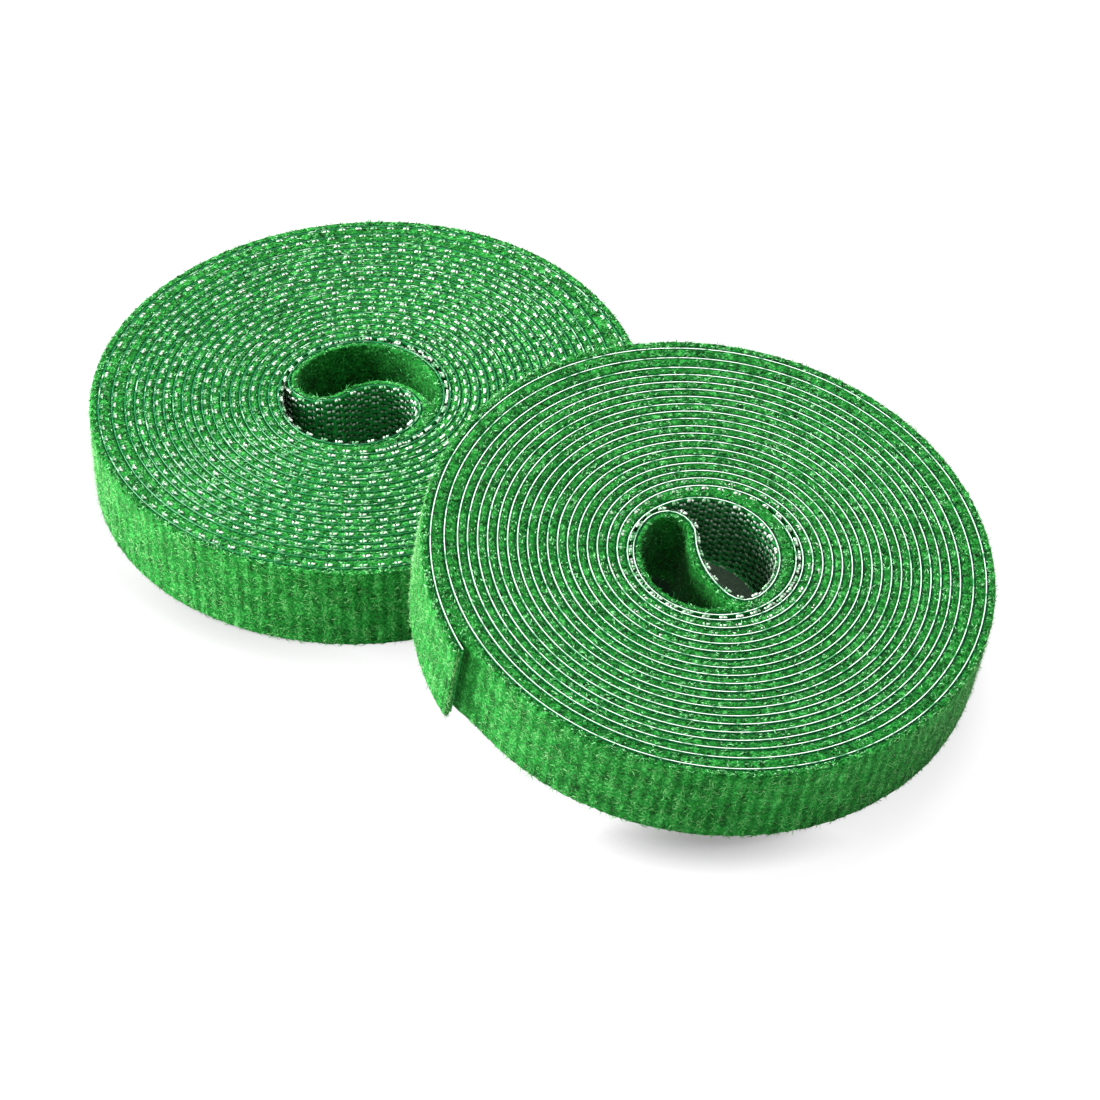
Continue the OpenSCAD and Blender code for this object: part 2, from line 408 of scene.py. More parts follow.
class Paint:
    """A material with a Principled shader, and the method that adds nodes to it."""

    def __init__(self, name, **fixed):
        self.material = bpy.data.materials.new(name)
        self.material.use_nodes = True
        self.tree = self.material.node_tree
        self.shader = self.tree.nodes["Principled BSDF"]
        for socket, value in fixed.items():
            self.shader.inputs[socket.replace("_", " ")].default_value = value

    def node(self, kind, settings=None, inputs=None, output=0):
        """Adds a node, sets it, fills or links its sockets and returns one output as a Wire."""
        made = self.tree.nodes.new(kind)
        for name, value in (settings or {}).items():
            if name == "stops":
                ramp = made.color_ramp.elements
                while len(ramp) < len(value):
                    ramp.new(0.5)
                for stop, (at, colour) in zip(ramp, value):
                    stop.position, stop.color = at, (*colour, 1)
            else:
                setattr(made, name, value)
        for socket, value in (inputs or {}).items():
            self.link(value, made.inputs[socket])
        return Wire(self, made.outputs[output])

    def link(self, value, socket):
        """A wire is linked to the socket; a plain value is set on it."""
        if isinstance(value, Wire):
            self.tree.links.new(value.socket, socket)
        else:
            socket.default_value = value

    def feed(self, **sockets):
        """Feeds sockets of the shader."""
        for socket, value in sockets.items():
            self.link(value, self.shader.inputs[socket.replace("_", " ")])

    def mix(self, share, a, b):
        """A colour between a and b."""
        return self.node("ShaderNodeMix", {"data_type": "RGBA"}, {0: share, 6: a, 7: b}, 2)

    def noise(self, where, scale, detail=2.0):
        """Soft noise from 0 to 1."""
        return self.node("ShaderNodeTexNoise", {}, {"Vector": where, "Scale": scale, "Detail": detail})

    def ramp(self, value, *stops):
        """A colour ramp."""
        return self.node("ShaderNodeValToRGB", {"stops": stops}, {"Fac": value})


# %% [markdown]
# ## The pile's green
# Dyed nylon fibres are a clean mid green. Where they lie deep the colour is painted darker and more
# saturated, a painted shade, and towards the tips it is painted paler, a painted light. Sheen adds pale
# light where it grazes the tips.

# %% Pile materials
STITCH, RIB = 1.12 * MM, 1.63 * MM
DEEP, MID, TIP = (0.001, 0.035, 0.003), (0.010, 0.200, 0.022), (0.090, 0.520, 0.110)
TUFTS_PER_M, PATCHES_PER_M = 3200.0, 450.0


def pile_body_paint(name, painted_depth_shade=0.0, ribbed=0.05):
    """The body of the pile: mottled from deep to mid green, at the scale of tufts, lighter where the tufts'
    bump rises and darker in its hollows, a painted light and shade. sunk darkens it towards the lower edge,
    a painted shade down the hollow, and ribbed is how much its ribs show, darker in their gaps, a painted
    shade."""
    p = Paint(name, Roughness=0.9, Sheen_Weight=0.08, Sheen_Roughness=0.5,
              Sheen_Tint=(0.6, 1.0, 0.6, 1), Specular_IOR_Level=0.05)
    where = p.node("ShaderNodeTexCoord", output=3)
    tufts = p.noise(where, TUFTS_PER_M, 3.0)
    patch = p.noise(where, PATCHES_PER_M, 2.0)
    tape = p.node("ShaderNodeUVMap", {"uv_map": "tape"})
    up = p.node("ShaderNodeSeparateXYZ", {}, {0: tape}, 1)
    rib = p.node("ShaderNodeMath", {"operation": "COSINE"},
                 {0: p.node("ShaderNodeSeparateXYZ", {}, {0: tape}) * (2 * math.pi * MM / RIB)})
    value = tufts * 0.75 + patch * 0.35 + rib * ribbed - 0.05 - (12 - up) * (painted_depth_shade / 12)
    p.feed(Base_Color=p.ramp(value, (0.32, DEEP), (0.54, MID), (0.74, TIP)))
    bump = p.node("ShaderNodeBump", {}, {"Strength": 0.6, "Distance": 0.0001, "Height": tufts})
    p.feed(Normal=bump)
    return p.material


def fibre_paint(name, root, mid, tip, own_share, sheen, gloss=0.07):
    """One fibre: painted darker at its root, a painted shade, and paler at its tip, a painted light.
    own_share is how much each has its own shade.
    """
    p = Paint(name, Roughness=0.7, Sheen_Weight=sheen, Sheen_Roughness=0.4,
              Sheen_Tint=(0.8, 1.0, 0.75, 1), Specular_IOR_Level=gloss)
    place = p.node("ShaderNodeSeparateXYZ", {}, {0: p.node("ShaderNodeUVMap", {"uv_map": "fibre"})}, 1)
    own = p.node("ShaderNodeSeparateXYZ", {}, {0: p.node("ShaderNodeUVMap", {"uv_map": "fibre"})}, 0)
    value = place * (1 - own_share) + own * own_share
    p.feed(Base_Color=p.ramp(value, (0.05, root), (0.45, mid), (0.9, tip)))
    return p.material


pile_body = pile_body_paint("pile_body")
# The core's copies are painted darker: the pile body towards the floor, and the fibres all over with little
# sheen, a painted shade down the hollow.
shaded_core_pile_body = pile_body_paint("shaded_core_pile_body", painted_depth_shade=0.18, ribbed=0.01)
wall_fibre = fibre_paint("wall_fibre", (0.001, 0.050, 0.003), (0.009, 0.255, 0.016),
                         (0.310, 0.820, 0.270), own_share=0.5, sheen=0.25, gloss=0.5)
shaded_core_fibre = fibre_paint("shaded_core_fibre", (0.001, 0.024, 0.003), (0.010, 0.250, 0.026),
                         (0.150, 0.680, 0.200), own_share=0.85, sheen=0.04)
edge_fibre = fibre_paint("edge_fibre", (0.001, 0.038, 0.006), (0.010, 0.215, 0.030),
                         (0.360, 0.880, 0.400), own_share=0.8, sheen=0.07)
print("pile materials:", [m.name for m in (pile_body, shaded_core_pile_body, wall_fibre, shaded_core_fibre, edge_fibre)])

# %% [markdown]
# ## Film, hooks and backing
# The film is clear plastic with the green cloth behind it, so its face looks dark green and wet. Its cut
# edge is white in patches, partly the milky cut and partly a painted glint of the lamps, and glows a
# little, a painted glow. The hooks are the same plastic; their white tips are partly the pale plastic and
# partly a painted highlight, and the hooks deep in the core are a darker copy, a painted shade.

# %% Film, hook and backing materials
def film_face_paint():
    """The film's face, with the cloth showing through."""
    p = Paint("film_face", Specular_IOR_Level=0.25)
    where = p.node("ShaderNodeTexCoord", output=3)
    weave = p.noise(where, 2600.0, 2.0)
    p.feed(Base_Color=p.ramp(weave, (0.35, (0.006, 0.170, 0.030)), (0.7, (0.028, 0.440, 0.090))))
    p.feed(Roughness=weave * 0.3 + 0.15)
    return p.material


def film_edge_paint(name, clear, white, scale, low, high):
    """The film's cut edge: white in patches, partly the milky rough cut and partly a painted glint of the
    lamps, and dark where it is clear. Its faint emission is a painted glow.
    """
    p = Paint(name, Roughness=0.5, Specular_IOR_Level=0.15)
    where = p.node("ShaderNodeTexCoord", output=3)
    cut = p.noise(where, scale, 2.0)
    colour = p.ramp(cut, (low, clear), (high, white))
    # Emission: a painted glow of the cut edge, in the same colour as its base.
    p.feed(Base_Color=colour, Emission_Color=colour, Emission_Strength=0.13)
    return p.material


def hook_paint(name, root, dull, tip, low, high):
    """Clear moulded plastic, greener at the root, and white at the tip, partly the pale plastic and partly
    a painted highlight. It turns from root to tip between low and high.
    """
    p = Paint(name, Roughness=0.25, Specular_IOR_Level=0.6)
    place = p.node("ShaderNodeSeparateXYZ", {}, {0: p.node("ShaderNodeUVMap", {"uv_map": "fibre"})}, 1)
    own = p.node("ShaderNodeSeparateXYZ", {}, {0: p.node("ShaderNodeUVMap", {"uv_map": "fibre"})}, 0)
    shade = place * 0.8 + own * 0.2
    dull_hook = p.ramp(shade, (low, root), (high, dull))
    white_hook = p.ramp(shade, (low, root), (high, tip))
    p.feed(Base_Color=p.mix(own, dull_hook, white_hook))
    return p.material


def backing_paint():
    """The knitted backing between the film and the pile. Its dark green is partly the knit's own colour and
    partly painted shade, the dark line beside the film's cut edge.
    """
    p = Paint("backing", Roughness=0.8, Specular_IOR_Level=0.05)
    where = p.node("ShaderNodeUVMap", {"uv_map": "tape"})
    knit = p.noise(where, 2.2, 2.0)
    p.feed(Base_Color=p.ramp(knit, (0.35, (0.001, 0.028, 0.008)), (0.65, (0.006, 0.120, 0.030))))
    return p.material


film_face = film_face_paint()
# The leaning roll's edges are painted whiter than the flat roll's: a painted highlight of the back-right
# lamp on its tilted edges.
film_edge_flat = film_edge_paint("film_edge_flat", (0.006, 0.070, 0.042), (0.60, 0.80, 0.62),
                                 800.0, 0.56, 0.70)
film_edge_leaning = film_edge_paint("film_edge_leaning", (0.10, 0.32, 0.16), (0.92, 1.0, 0.94),
                                    700.0, 0.33, 0.45)
# lit_hook and shaded_deep_hook are a lit and a shaded copy of one plastic: the inner rows down the core are
# painted darker, a painted shade.
lit_hook = hook_paint("lit_hook", (0.020, 0.20, 0.05), (0.30, 0.62, 0.32), (1.0, 1.0, 0.95),
                         0.42, 0.68)
shaded_deep_hook = hook_paint("shaded_deep_hook", (0.001, 0.075, 0.010), (0.09, 0.34, 0.13), (0.95, 1.0, 0.95),
                       0.70, 0.92)
backing = backing_paint()
print("film and hook materials:", film_face.name, lit_hook.name, shaded_deep_hook.name, backing.name)

# %% [markdown]
# ## Shapes that repeat
# A fibre and a hook are each modelled once with operators, and then copied many times. A fibre is a thin
# three-sided cone, straight, bent or curled. A hook is a short bar on the film with an arm at each side,
# which rises outwards and catches the pile's loops. With few faces each, thousands of them stay light.

# %% One fibre, one hook
def shape_of(obj):
    """Takes a template's vertices and faces and removes the object."""
    faces = [tuple(p.vertices) for p in obj.data.polygons]
    found = vertices_of(obj), faces
    bpy.data.objects.remove(obj)
    return found


def select_faces(obj, test):
    """In edit mode's face select, selects the faces whose centre and normal pass the test."""
    bpy.ops.object.mode_set(mode="OBJECT")
    for items in (obj.data.vertices, obj.data.edges, obj.data.polygons):
        items.foreach_set("select", [False] * len(items))
    for face in obj.data.polygons:
        face.select = bool(test(face.center, face.normal))
    bpy.ops.object.mode_set(mode="EDIT")
    bpy.ops.mesh.select_mode(type="FACE")


def model_fibre(sides, bends):
    """A closed cone one unit long along Z and one unit thick. Each bend is (height, shift, share of the
    thickness), where the shift along X is in thicknesses; the last one is the tip."""
    bpy.ops.object.select_all(action="DESELECT")
    bpy.ops.mesh.primitive_circle_add(vertices=sides, radius=0.5, fill_type="NGON")
    obj = bpy.context.object
    height, shift, thick = 0, 0, 1
    for next_height, next_shift, next_thick in bends:
        select_faces(obj, lambda centre, normal: centre.z > height - 0.01 and abs(normal.z) > 0.5)
        move = (next_shift - shift, 0, next_height - height)
        bpy.ops.mesh.extrude_region_move(TRANSFORM_OT_translate={"value": move})
        bpy.ops.transform.resize(value=(next_thick / thick,) * 3)
        bpy.ops.object.mode_set(mode="OBJECT")
        height, shift, thick = next_height, next_shift, next_thick
    select_faces(obj, lambda centre, normal: centre.z > height - 0.01)
    bpy.ops.mesh.merge(type="CENTER")
    bpy.ops.mesh.select_all(action="SELECT")
    bpy.ops.mesh.normals_make_consistent(inside=False)
    bpy.ops.object.mode_set(mode="OBJECT")
    return shape_of(obj)


BAR_SIZE, ARM_ROOT, ARM, ARM_SWELL = (0.30, 0.20, 0.12), (0.19, 0.02), (0.09, 0.27), 1.15


def model_hook():
    """In millimetres: X along the tape, Y across it, Z off the film. A short bar with two arms; each arm's
    steps are (outwards, up)."""
    bpy.ops.object.select_all(action="DESELECT")
    bpy.ops.mesh.primitive_cube_add(size=1, location=(0, 0, 0.5))
    obj = bpy.context.object
    obj.scale = BAR_SIZE
    bpy.ops.object.transform_apply(location=True, rotation=True, scale=True)
    obj.data.transform(Matrix.Translation((0, 0, -vertices_of(obj)[:, 2].min())))
    for side in (-1, 1):
        select_faces(obj, lambda centre, normal: normal.x * side > 0.9)
        step = (ARM_ROOT[0] * side, 0, ARM_ROOT[1])
        bpy.ops.mesh.extrude_region_move(TRANSFORM_OT_translate={"value": step})
        select_faces(obj, lambda centre, normal: normal.z > 0.7 and centre.x * side > 0.16)
        step = (ARM[0] * side, 0, ARM[1])
        bpy.ops.mesh.extrude_region_move(TRANSFORM_OT_translate={"value": step})
        bpy.ops.transform.resize(value=(ARM_SWELL, ARM_SWELL, 1.0))
    bpy.ops.object.mode_set(mode="OBJECT")
    return shape_of(obj)


STUB = model_fibre(3, [(1.0, 0.6, 0.1)])
FIBRE = model_fibre(3, [(0.5, 0.5, 0.9), (1.0, 2.2, 0.1)])
CURL = model_fibre(3, [(0.55, 1.2, 1.0), (0.95, 4.8, 0.1)])
HOOK = model_hook()
print("faces: stub", len(STUB[1]), "fibre", len(FIBRE[1]), "curl", len(CURL[1]), "hook", len(HOOK[1]))


# %% [markdown]
# ## Copying a shape
# Copies are one mesh. Each copy has a place, three axes and three sizes. The UV map "fibre" gives every
# copy a shade of its own in u, and in v how far up the shape a point is.

# %% The copier
def copies(name, shape, places, axes, sizes, shades, paint):
    """One mesh with a copy of the shape at each place."""
    points, faces = shape
    n, m = len(places), len(points)
    world = places[:, None] + np.einsum("mk,nk,nkj->nmj", points, sizes, axes)
    counts = np.array([len(f) for f in faces], np.int32)
    corner = np.concatenate([np.array(f, np.int32) for f in faces])
    corners = (corner[None] + np.arange(n, dtype=np.int32)[:, None] * m).ravel()
    mesh = bpy.data.meshes.new(name)
    mesh.vertices.add(n * m)
    mesh.vertices.foreach_set("co", world.ravel())
    mesh.loops.add(len(corners))
    mesh.loops.foreach_set("vertex_index", corners)
    mesh.polygons.add(n * len(counts))
    ends = np.cumsum(counts)
    starts = (ends - counts)[None] + np.arange(n)[:, None] * ends[-1]
    mesh.polygons.foreach_set("loop_start", starts.ravel().astype(np.int32))
    mesh.update(calc_edges=True)
    up = (points[:, 2] - points[:, 2].min()) / np.ptp(points[:, 2])
    uv = np.stack([np.repeat(shades, len(corner)), np.tile(up[corner], n)], -1)
    mesh.uv_layers.new(name="fibre").uv.foreach_set("vector", uv.ravel())
    mesh.materials.append(paint)
    mesh.validate()
    obj = bpy.data.objects.new(name, mesh)
    bpy.context.scene.collection.objects.link(obj)
    return obj


def bent_axes(forward, towards):
    """Axes of a fibre: Z runs forward, X points the way it bends."""
    x = unit(towards - forward * (towards * forward).sum(-1, keepdims=True))
    return np.stack([x, np.cross(forward, x), forward], 1)


# %% [markdown]
# ## The layers of a roll
# The last 30 mm of each tape are pieces of their own, because that end can be peeled off the roll and
# bends as it comes away. Everything else belongs to the wound roll.

# %% Layers
SEAM, TAPE_STEP, FILM_BEVEL = 5 * MM, 1.1 * MM, 0.052 * MM
BACKING_T, BACKING_BEVEL, BACKING_EDGES = 0.26 * MM, 0.06 * MM, [0.10 * MM, TAPE_W - 0.12 * MM]
PILE_START, PILE_BEVEL, PILE_EDGES = 0.21 * MM, 0.16 * MM, (0.20 * MM, TAPE_W - 0.08 * MM)
TUFT_SIZE, TUFT_DEPTH = 0.00032, 0.3 * MM
PRESSED = 0.1
ROLLS = {"flat": (flat_roll, film_edge_flat), "leaning": (leaning_roll, film_edge_leaning)}
made = {}


def finish_piece(obj, part):
    """Keeps the piece under its part, flat_roll, flat_end, leaning_roll or leaning_end. The pile yields
    where it rests: what would pass through the floor is pressed back to a tenth of that depth."""
    points = vertices_of(obj)
    points[:, 2] = np.where(points[:, 2] < 0, PRESSED * points[:, 2], points[:, 2])
    obj.data.vertices.foreach_set("co", points.ravel())
    obj.data.update()
    made.setdefault(part, []).append(obj)
    print(obj.name, len(obj.data.polygons), "faces")
    return obj


def make_film(name, roll, span, edge, part):
    """The film, with its cut edges in their own material."""
    obj = band(name, roll, span, TAPE_STEP, -FILM_T, [0, TAPE_W], FILM_T, FILM_BEVEL)
    lay_tape_map(obj, roll)
    obj.data.materials.append(film_face)
    obj.data.materials.append(edge)
    up = Vector(roll["up"])
    for face in obj.data.polygons:
        face.material_index = 1 if abs(face.normal.dot(up)) > 0.9 else 0
    return finish_piece(obj, part)


def make_backing(name, roll, span, part):
    """The knitted backing, a little narrower than the film."""
    obj = band(name, roll, span, TAPE_STEP, BOND_T + 0.01 * MM, BACKING_EDGES, BACKING_T, BACKING_BEVEL)
    lay_tape_map(obj, roll)
    obj.data.materials.append(backing)
    return finish_piece(obj, part)


tufts = bpy.data.textures.new("tufts", "CLOUDS")
tufts.noise_scale, tufts.noise_depth = TUFT_SIZE, 2


def make_pile(name, roll, span, step, rows, thick, part, paint=pile_body):
    """The body of the pile, rounded at its edges and broken up into tufts."""
    heights = np.linspace(*PILE_EDGES, rows)
    obj = band(name, roll, span, step, PILE_START, list(heights), thick, PILE_BEVEL, 2)
    lay_tape_map(obj, roll)
    apply_modifier(obj, "DISPLACE", texture=tufts, texture_coords="LOCAL", strength=TUFT_DEPTH,
                   mid_level=0.5)
    obj.data.materials.append(paint)
    select_only(obj)
    bpy.ops.object.shade_smooth()
    return finish_piece(obj, part)


# %% [markdown]
# ## Fibres and hooks in place
# Loose fibres lie over the pile's edges and stand on its open face. They come in clumps, so their shade and
# their lean follow a smooth noise as well as chance; on the open face the clumps that stand out are painted
# lighter and the hollows between them darker, a painted light and shade. Every layer has a seed of its own,
# which makes it the same each time the lesson is run.

# %% Fibres and hooks in place
WAVES = 14


def clumps(places, size, seed):
    """Smooth noise from -1 to 1 at these places; the clumps are about size across."""
    rng = np.random.default_rng(seed)
    waves = unit(rng.normal(0, 1, (WAVES, 3))) * (np.pi / size) * rng.uniform(0.7, 1.4, (WAVES, 1))
    return np.clip(np.sin(places @ waves.T + rng.uniform(0, 6.3, WAVES)).sum(-1) / 4.0, -1, 1)


def edge_fibres(name, roll, span, per_mm2, top, uneven, seed, part, lift=0.0):
    """Fibres that lie over the pile's upper or lower edge between the turns, mostly along the tape. uneven
    is how much their shades differ, and lift makes all of them paler."""
    rng = np.random.default_rng(seed)
    room = pile_height(roll)
    deepest = room(np.arange(*span, MM)).max()
    n = int((span[1] - span[0]) * deepest / MM ** 2 * per_mm2)
    distance, depth = rng.uniform(*span, n), rng.uniform(0, deepest, n)
    inside = depth < room(distance)
    distance, depth = distance[inside], depth[inside]
    n = len(distance)
    place, out, ahead = along(roll, distance)
    up = roll["up"] * (1 if top else -1)
    level = TAPE_W - 0.12 * MM if top else 0.20 * MM
    height = level + rng.normal(0, 0.05, (n, 1)) * MM
    root = place + out * (0.17 * MM + 0.95 * depth[:, None]) + roll["up"] * height
    side = rng.normal(0, 0.6, (n, 1)) + np.pi * rng.integers(0, 2, (n, 1))
    climb = rng.uniform(0.0, 0.5, (n, 1))
    forward = (np.cos(side) * ahead + np.sin(side) * out) * np.cos(climb) + up * np.sin(climb)
    axes = bent_axes(unit(forward), -up + rng.normal(0, 0.3, (n, 3)))
    length = rng.uniform(0.25, 0.60, n) * MM
    width = rng.uniform(0.14, 0.24, n) * MM
    stitch = np.cos(2 * np.pi * distance / STITCH)
    # Shade: brighter on each stitch of loops and darker between them, a painted light and shade; lift is
    # added to all, and the clumps and chance vary it.
    shade = 0.42 + lift + 0.26 * stitch + 0.45 * clumps(root, 0.36 * MM, seed) + rng.normal(0, uneven, n)
    sizes = np.stack([width, width, length], -1)
    return finish_piece(copies(name, STUB, root, axes, sizes, np.clip(shade, 0, 1), edge_fibre), part)


def wall_fibres(name, roll, span, per_mm2, base, seed, part, shape=None, lengths=(0.5, 1.0), lift=0.0,
                rise=1.0, paint=None, painted_depth_shade=0.0, ribbed=1.0):
    """Fibres of the pile's open face, in clumps and faint ribs, rooted at the distance base off the path.
    rise is how steeply they stand, and sunk darkens them towards the floor, a painted shade."""
    rng = np.random.default_rng(seed)
    # half as many again are drawn, because the ribs then leave out about two in five
    n = int((span[1] - span[0]) / MM * 12 * per_mm2 * 1.5)
    distance = rng.uniform(*span, n)
    place, out, ahead = along(roll, distance)
    height = rng.uniform(0.1, 11.9, (n, 1)) * MM
    root = place + out * base + roll["up"] * height
    rib = ribbed * np.cos(2 * np.pi * distance / RIB + 0.6 * clumps(root, 3.0 * MM, 7))
    dense = rng.uniform(0, 1, n) < 0.6 + 0.28 * rib
    distance, place, out, ahead, root, rib, height = (
        v[dense] for v in (distance, place, out, ahead, root, rib, height))
    n = len(distance)
    root = root + out * (0.07 * MM * rib[:, None])
    tuft = 0.50 * clumps(root, 0.6 * MM, 5) + 0.30 * clumps(root, 1.8 * MM, 6) + 0.34 * rib
    turn = rng.uniform(0, 2 * np.pi, (n, 1))
    climb = rng.uniform(0.1, 0.9, (n, 1)) * rise + 0.15 * tuft[:, None]
    lying = np.cos(turn) * ahead + np.sin(turn) * roll["up"]
    forward = lying * np.cos(climb) + out * np.sin(climb)
    sideways = np.cross(out, lying) * np.sign(rng.normal(0, 1, (n, 1)))
    axes = bent_axes(unit(forward), sideways - 0.5 * out + rng.normal(0, 0.3, (n, 3)))
    length = rng.uniform(*lengths, n) * MM * (1 + 0.25 * tuft)
    width = rng.uniform(0.07, 0.11, n) * MM
    sizes = np.stack([width, width, length], -1)
    # Shade: clumps and rib crests, which stand out further, are painted lighter and the hollows and rib
    # gaps darker, a painted light and shade; the rest is random tone, and sunk adds painted shade towards
    # the floor.
    shade = 0.50 + lift + 0.42 * tuft + rng.normal(0, 0.2, n) - painted_depth_shade * (1 - height[:, 0] / TAPE_W)
    shade = np.clip(shade, 0, 1)
    return finish_piece(copies(name, shape or FIBRE, root, axes, sizes, shade, paint or wall_fibre), part)


HOOK_PITCH, ROW_PITCH, HOOK_ROWS = 2.2 * MM, 0.5122 * MM, 23
HOOK_SIZE = np.array([0.98, 1.25, 1.1]) * MM


def hooks(name, roll, span, rows, first, seed, part, paint):
    """Rows of hooks on the film; every other row starts half a hook later. first(distance) is how far
    under the cut edge the first row runs."""
    rng = np.random.default_rng(seed)
    places, axes, shades = [], [], []
    for row in rows:
        shift = HOOK_PITCH / 2 if row % 2 else 0
        distance = np.arange(span[0] + shift + 0.6 * MM, span[1] - 0.6 * MM, HOOK_PITCH)  # ends stay bare
        distance = distance + rng.normal(0, 0.06, len(distance)) * MM
        place, out, ahead = along(roll, distance)
        height = TAPE_W - first(distance)[:, None] - row * ROW_PITCH
        places.append(place - out * FILM_T + roll["up"] * height)
        across = np.tile(roll["up"], (len(distance), 1))
        # X along the tape, Y across it, Z away from the film
        axes.append(np.stack([np.cross(across, -out), across, -out], 1))
        # Painted shade: each row lower down, further under the top edge, is painted duller.
        shades.append(rng.uniform(0, 1, len(distance)) * (1 - row / (HOOK_ROWS + 3)))  # duller lower down
    places, axes, shades = np.concatenate(places), np.concatenate(axes), np.concatenate(shades)
    sizes = HOOK_SIZE * rng.uniform(0.9, 1.1, (len(places), 1))
    return finish_piece(copies(name, HOOK, places, axes, sizes, shades, paint), part)


# %% [markdown]
# ## How dense each layer is
# A layer that is looked at closely gets more fibres. Between the tight turns only the two edges of the tape
# are ever seen, so there the hooks are just the first and the last row. How deep the first row runs under
# the cut edge changes along the tape, because a slitting knife doesn't follow the rows exactly.

# %% How dense each layer is
PER_MM2 = {"top": 15.3, "loose": 17, "rim": 19, "under": 1.6, "core": 7, "bed": 6, "curls": 7, "fuzz": 2.5,
           "cut": 110}
FACE_LAYERS = (  # name, density, distance off the path, seed step, then shape, lengths, lift and rise
    ("fibres", "bed", 0.82 * MM, 0, STUB, (0.5, 1.0), 0.0, 1.0),
    ("curls", "curls", 0.9 * MM, 5, CURL, (0.5, 0.95), 0.12, 0.5),
    ("fuzz", "fuzz", 0.85 * MM, 7, STUB, (0.45, 0.8), 0.0, 1.5),
)
UNEVEN = {"flat": 0.20, "leaning": 0.36}
EDGE_ROWS, INNER_ROWS = (0, HOOK_ROWS - 1), range(1, HOOK_ROWS - 1)
FIRST_ROW = {
    "flat": lambda d: 0.06 * MM + 0.05 * MM * np.sin(d / (60 * MM)),
    "leaning": lambda d: np.interp(d / MM, [0, 120, 260, 600, 3000], [0.06, 0.10, 0.22, 0.31, 0.33]) * MM,
}


def open_face(part, ending, roll, span, seed):
    """The pile's open face: a bed of short fibres, curls that lie over it and a little fuzz."""
    for layer, density, base, step, shape, lengths, lift, rise in FACE_LAYERS:
        wall_fibres(f"{part}_wall_{layer}{ending}", roll, span, PER_MM2[density], base, seed + step, part,
                    shape, lengths, lift, rise)


# %% [markdown]
# ## The wound roll
# From the core outwards the pile is made in three stretches: the core, whose pile is seen from above, the
# turns, of which only the edge shows, and the outermost turn, whose face is open. Just inside the last turn
# the winding is looser, and its fibres are painted a little darker, a painted shade in the wider gap
# between the turns.

# %% The wound roll
OUTER_RADIUS, LOOSE_RADIUS, UNDER_END = 35.5 * MM, 33.5 * MM, 32 * MM


def make_wound_roll(kind, index):
    """All layers from the inner end to the seam."""
    roll, edge = ROLLS[kind]
    part, room, uneven = kind + "_roll", pile_height(roll), UNEVEN[kind]
    seam, core = roll["cut"] - SEAM, roll["core_end"]
    outer = seam - 2 * math.pi * OUTER_RADIUS
    loose = outer - 4 * math.pi * LOOSE_RADIUS
    open_from = outer + UNDER_END
    make_film(part + "_film", roll, (0, seam), edge, part)
    make_backing(part + "_backing", roll, (0, seam), part)
    # The core's pile body is the shaded copy, painted darker towards the floor: a painted shade down the
    # hollow.
    make_pile(part + "_core_pile", roll, (0.3 * MM, core), 0.4 * MM, 22, room, part, shaded_core_pile_body)
    make_pile(part + "_turns_pile", roll, (core, open_from), 0.75 * MM, 2, room, part)
    make_pile(part + "_outer_pile", roll, (open_from, seam), 0.4 * MM, 26, room, part)
    for layer, span, top, shades, seed, lift in (
            ("top", (0.5 * MM, loose), True, uneven, 10, 0.0),
            # The loose span is painted darker by lift -0.10: a painted shade in the wider gap between the
            # turns.
            ("loose", (loose, open_from), True, 0.2, 15, -0.10),
            ("rim", (open_from, seam), True, uneven, 17, 0.0),
            ("under", (0.5 * MM, seam), False, uneven, 20, 0.0)):
        edge_fibres(f"{part}_{layer}_fibres", roll, span, PER_MM2[layer], top, shades, seed + index, part,
                    lift)
    # The core's fibres take the shaded fibre paint and are painted darker towards the floor: a painted
    # shade down the hollow.
    wall_fibres(part + "_core_fibres", roll, (0.5 * MM, core), PER_MM2["core"], 0.62 * MM, 30 + index, part,
                paint=shaded_core_fibre, painted_depth_shade=0.34, ribbed=0.2)
    half = (open_from + seam) / 2
    open_face(part, "_a", roll, (open_from - 8 * MM, half), 40 + index)
    open_face(part, "_b", roll, (half, seam), 50 + index)
    hooks(part + "_edge_hooks", roll, (0, seam), EDGE_ROWS, FIRST_ROW[kind], 60 + index, part, lit_hook)
    # The inner rows take the shaded hook paint: a painted shade, strongest down the core.
    hooks(part + "_core_hooks", roll, (0, core + 90 * MM), INNER_ROWS, FIRST_ROW[kind], 70 + index, part,
          shaded_deep_hook)


# %% [markdown]
# ## The free end
# The end has the same layers over its whole width, for it can be peeled off and then shows both faces. At
# its cut, the ends of the fibres stand out.

# %% The free end
def make_free_end(kind, index):
    """All layers from the seam to the cut end."""
    roll, edge = ROLLS[kind]
    end, room = kind + "_end", pile_height(roll)
    seam, length = roll["cut"] - SEAM, roll["length"]
    make_film(end + "_film", roll, (seam, length - 0.4 * MM), edge, end)
    make_backing(end + "_backing", roll, (seam, length - 0.4 * MM), end)
    make_pile(end + "_pile", roll, (seam, length - 0.1 * MM), 0.4 * MM, 26, room, end)
    open_face(end, "", roll, (seam, length), 80 + index)
    wall_fibres(end + "_cut_fibres", roll, (length - 0.5 * MM, length - 0.05 * MM), PER_MM2["cut"],
                0.55 * MM, 89 + index, end, FIBRE, (0.4, 0.9))
    edge_fibres(end + "_top_fibres", roll, (seam, length), PER_MM2["rim"], True, UNEVEN[kind], 90 + index,
                end)
    hooked = (seam, length - 1.4 * MM)
    hooks(end + "_hooks", roll, hooked, EDGE_ROWS, FIRST_ROW[kind], 95 + index, end, lit_hook)
    # The inner rows take the shaded hook paint: a painted shade.
    hooks(end + "_deep_hooks", roll, hooked, INNER_ROWS, FIRST_ROW[kind], 98 + index, end, shaded_deep_hook)


